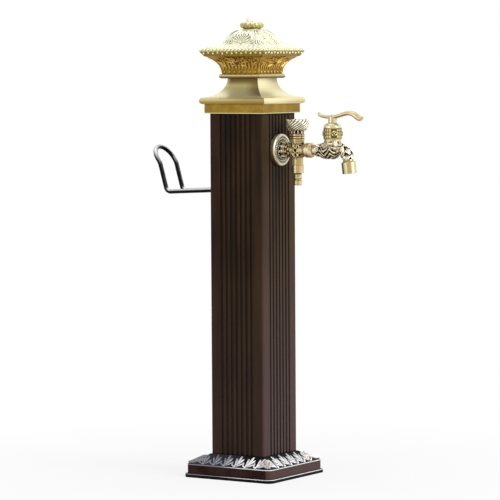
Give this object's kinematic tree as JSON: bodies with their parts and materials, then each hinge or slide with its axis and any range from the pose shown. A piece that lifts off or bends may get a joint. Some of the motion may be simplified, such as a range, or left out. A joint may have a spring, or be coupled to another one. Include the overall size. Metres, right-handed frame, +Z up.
{
  "type": "garden standpipe",
  "caption": "Fluted square garden standpipe with a cast cap and base, an ornate lever tap, a second valve with a hose nipple, and a rear hose hook.",
  "frame": {"origin": "centre of the foot, on the ground", "axes": "+Z up; the tap arm leaves the post along -Y and the hose hook along +Y; the left side seen from the tap is -X"},
  "size_m": [0.1818, 0.4234, 0.8],
  "materials": {
    "brown_paint": "satin dark brown paint",
    "skirt_finish": "dark brown paint with silver rubbed relief",
    "gilt_casting": "gold paint with darker recesses",
    "aged_bronze": "polished bronze with dark patina in the recesses",
    "black_coating": "gloss black coating",
    "zinc_steel": "zinc plate",
    "plain_brass": "machined brass",
    "copper_pipe": "plain copper tube",
    "black_rubber": "moulded rubber",
    "white_ceramic": "ground ceramic",
    "strainer_steel": "perforated stainless steel"
  },
  "bodies": {
    "column": {"post": "brown_paint", "base_skirt": "skirt_finish", "cap_collar": "gilt_casting", "cap_crown": "gilt_casting", "cap_lid": "gilt_casting", "cap_button": "gilt_casting", "finial_knob": "gilt_casting", "wall_rosette": "aged_bronze", "valve_body": "aged_bronze", "hose_valve_bonnet": "aged_bronze", "hose_nut": "aged_bronze", "hose_nipple": "aged_bronze", "union_nut": "aged_bronze", "link_pipe": "aged_bronze", "tap_body": "aged_bronze", "tap_bonnet": "aged_bronze", "spout_nozzle": "aged_bronze", "hose_hook": "black_coating", "floor_plate": "zinc_steel", "post_screws": "zinc_steel", "cap_bridge": "zinc_steel", "bridge_screws": "zinc_steel", "tie_rod": "zinc_steel", "tie_nut": "zinc_steel", "inlet_bracket": "zinc_steel", "bracket_screws": "zinc_steel", "tail_washer": "zinc_steel", "hook_washers": "zinc_steel", "hook_nuts": "zinc_steel", "inlet_coupling": "plain_brass", "inlet_lock_nut": "plain_brass", "top_elbow": "plain_brass", "tail_lock_nut": "plain_brass", "hose_valve_cartridge": "plain_brass", "tap_cartridge": "plain_brass", "riser_pipe": "copper_pipe", "hose_valve_seal": "black_rubber", "hose_washer": "black_rubber", "union_washer": "black_rubber", "tap_seal": "black_rubber", "nozzle_washer": "black_rubber", "hose_valve_fixed_disc": "white_ceramic", "tap_fixed_disc": "white_ceramic", "flow_strainer": "strainer_steel"},
    "spout_lever": {"tap_lever": "aged_bronze", "tap_lever_screw": "plain_brass", "tap_spindle": "plain_brass", "tap_turning_disc": "white_ceramic", "tap_stem_seal": "black_rubber"},
    "hose_handle": {"hose_valve_handle": "aged_bronze", "hose_valve_screw": "plain_brass", "hose_valve_spindle": "plain_brass", "hose_valve_turning_disc": "white_ceramic", "hose_valve_stem_seal": "black_rubber"}
  },
  "joints": [
    {"name": "spout_lever_turn", "type": "hinge", "parent": "column", "child": "spout_lever", "pos_m": [0, -0.1632, 0.628], "axis": [0, 0, 1], "range_deg": [0, 90]},
    {"name": "hose_handle_turn", "type": "hinge", "parent": "column", "child": "hose_handle", "pos_m": [0, -0.0925, 0.61], "axis": [0, 0, 1], "range_deg": [0, 90]}
  ]
}
